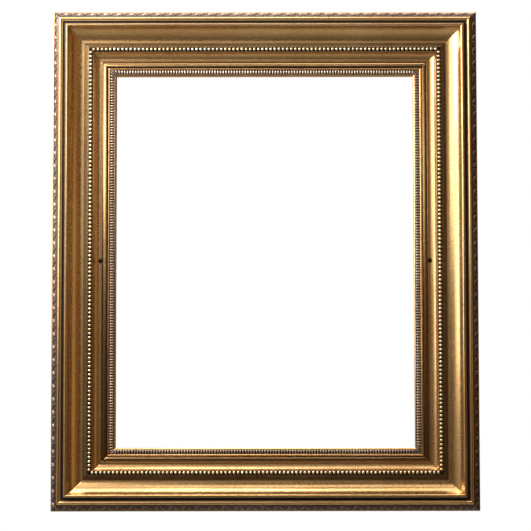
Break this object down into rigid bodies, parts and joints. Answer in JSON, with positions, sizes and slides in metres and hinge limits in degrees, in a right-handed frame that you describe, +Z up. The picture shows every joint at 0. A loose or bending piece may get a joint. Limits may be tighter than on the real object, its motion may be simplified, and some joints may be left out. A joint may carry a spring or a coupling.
{
  "type": "picture frame",
  "caption": "Upright gilded wooden picture frame with a deep scoop, pearl run, reeded sight edge, separate liner, turn buttons and D-ring hangers.",
  "frame": {"origin": "on the back of the top rail, at the middle of its length and of its flat foot, where it lies against the wall", "axes": "+Z up, +Y from the front to the wall behind the frame, +X to the right seen from the front"},
  "size_m": [0.563, 0.0511, 0.6645],
  "materials": {
    "rail_gilding": "antique gold leaf over gesso on wood, burnished, bare wood behind",
    "liner_gilding": "antique gold leaf over gesso on wood, burnished",
    "pearl_gilding": "cast composition, gilded, dark wax between the pearls",
    "reed_gilding": "cast composition, gilded and toned with grey-brown wax",
    "leaf_gilding": "cast composition, gilded and toned with pinkish brown wax",
    "nail_steel": "bare sheet steel",
    "liner_screw_bronze": "dark bronzed brass",
    "button_brass": "pressed sheet, brass plated",
    "screw_zinc": "zinc plated steel",
    "hanger_zinc": "bright zinc plated steel",
    "bumper_rubber": "soft black rubber"
  },
  "bodies": {
    "frame": {"outer_rail_top": "rail_gilding", "outer_rail_right": "rail_gilding", "outer_rail_bottom": "rail_gilding", "outer_rail_left": "rail_gilding", "liner_top": "liner_gilding", "liner_right": "liner_gilding", "liner_bottom": "liner_gilding", "liner_left": "liner_gilding", "pearl_run_top": "pearl_gilding", "pearl_run_right": "pearl_gilding", "pearl_run_bottom": "pearl_gilding", "pearl_run_left": "pearl_gilding", "reed_run_top": "reed_gilding", "reed_run_right": "reed_gilding", "reed_run_bottom": "reed_gilding", "reed_run_left": "reed_gilding", "leaf_run_top": "leaf_gilding", "leaf_run_right": "leaf_gilding", "leaf_run_bottom": "leaf_gilding", "leaf_run_left": "leaf_gilding", "corner_nails": "nail_steel", "liner_nails": "nail_steel", "liner_screw_left": "liner_screw_bronze", "liner_screw_right": "liner_screw_bronze", "turn_button_screws": "screw_zinc", "hanger_strap_left": "hanger_zinc", "hanger_strap_right": "hanger_zinc", "hanger_screws": "screw_zinc", "wall_bumper_left": "bumper_rubber", "wall_bumper_right": "bumper_rubber"},
    "button_top_left": {"turn_button_top_left": "button_brass"},
    "button_top_right": {"turn_button_top_right": "button_brass"},
    "button_right_upper": {"turn_button_right_upper": "button_brass"},
    "button_right_lower": {"turn_button_right_lower": "button_brass"},
    "button_bottom_right": {"turn_button_bottom_right": "button_brass"},
    "button_bottom_left": {"turn_button_bottom_left": "button_brass"},
    "button_left_lower": {"turn_button_left_lower": "button_brass"},
    "button_left_upper": {"turn_button_left_upper": "button_brass"},
    "ring_left": {"hanger_ring_left": "hanger_zinc"},
    "ring_right": {"hanger_ring_right": "hanger_zinc"}
  },
  "joints": [
    {"name": "turn_button_top_left_turn", "type": "hinge", "parent": "frame", "child": "button_top_left", "pos_m": [-0.10185, -0.00305, -0.03807], "axis": [0, 1, 0], "continuous": true},
    {"name": "turn_button_top_right_turn", "type": "hinge", "parent": "frame", "child": "button_top_right", "pos_m": [0.10185, -0.00305, -0.03807], "axis": [0, -1, 0], "continuous": true},
    {"name": "turn_button_right_upper_turn", "type": "hinge", "parent": "frame", "child": "button_right_upper", "pos_m": [0.2178, -0.00305, -0.15402], "axis": [0, 1, 0], "continuous": true},
    {"name": "turn_button_right_lower_turn", "type": "hinge", "parent": "frame", "child": "button_right_lower", "pos_m": [0.2178, -0.00305, -0.45932], "axis": [0, -1, 0], "continuous": true},
    {"name": "turn_button_bottom_right_turn", "type": "hinge", "parent": "frame", "child": "button_bottom_right", "pos_m": [0.10185, -0.00305, -0.57527], "axis": [0, 1, 0], "continuous": true},
    {"name": "turn_button_bottom_left_turn", "type": "hinge", "parent": "frame", "child": "button_bottom_left", "pos_m": [-0.10185, -0.00305, -0.57527], "axis": [0, -1, 0], "continuous": true},
    {"name": "turn_button_left_lower_turn", "type": "hinge", "parent": "frame", "child": "button_left_lower", "pos_m": [-0.2178, -0.00305, -0.45932], "axis": [0, 1, 0], "continuous": true},
    {"name": "turn_button_left_upper_turn", "type": "hinge", "parent": "frame", "child": "button_left_upper", "pos_m": [-0.2178, -0.00305, -0.15402], "axis": [0, -1, 0], "continuous": true},
    {"name": "hanger_ring_left_swing", "type": "hinge", "parent": "frame", "child": "ring_left", "pos_m": [-0.2438, 0.00238, -0.12442], "axis": [0, 0, 1], "range_deg": [-8, 174]},
    {"name": "hanger_ring_right_swing", "type": "hinge", "parent": "frame", "child": "ring_right", "pos_m": [0.2438, 0.00238, -0.12442], "axis": [0, 0, -1], "range_deg": [-8, 174]}
  ]
}
